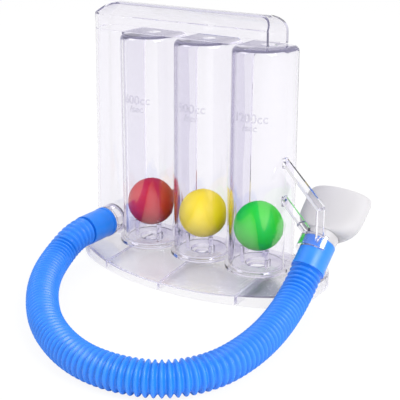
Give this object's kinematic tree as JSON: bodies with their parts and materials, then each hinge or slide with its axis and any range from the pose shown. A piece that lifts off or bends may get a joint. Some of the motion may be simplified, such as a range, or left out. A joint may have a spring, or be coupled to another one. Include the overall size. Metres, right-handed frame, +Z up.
{
  "type": "incentive spirometer",
  "caption": "Breathing exerciser with balls that rise in clear flow chambers, on a bowed tray, with a corrugated hose and a mouthpiece held at its side.",
  "frame": {"origin": "on the resting plane under the base tray, below the middle ball's axis", "axes": "+X towards the mouthpiece holder, +Y towards the flat back, +Z up"},
  "size_m": [0.1923, 0.1889, 0.1585],
  "materials": {
    "clear": "gloss",
    "red": "gloss",
    "yellow": "gloss",
    "green": "gloss",
    "blue": "satin",
    "frosted": "satin"
  },
  "bodies": {
    "stand": {"base_tray": "clear", "chamber_block": "clear", "manifold_cover": "clear", "ball_seat_left": "clear", "ball_seat_middle": "clear", "ball_seat_right": "clear", "hose_nozzle": "clear", "inlet_cuff": "blue", "hose": "blue", "outlet_cuff": "blue", "hose_holder": "clear"},
    "red_ball": {"ball_left": "red"},
    "yellow_ball": {"ball_middle": "yellow"},
    "green_ball": {"ball_right": "green"},
    "mouthpiece": {"mouthpiece": "frosted"}
  },
  "joints": [
    {"name": "ball_left_rise", "type": "slide", "parent": "stand", "child": "red_ball", "axis": [0, 0, 1], "range_m": [0, 0.09]},
    {"name": "ball_middle_rise", "type": "slide", "parent": "stand", "child": "yellow_ball", "axis": [0, 0, 1], "range_m": [0, 0.09]},
    {"name": "ball_right_rise", "type": "slide", "parent": "stand", "child": "green_ball", "axis": [0, 0, 1], "range_m": [0, 0.09]},
    {"name": "mouthpiece_pull", "type": "slide", "parent": "stand", "child": "mouthpiece", "axis": [0, 0.766, 0.6428], "range_m": [0, 0.012]}
  ]
}
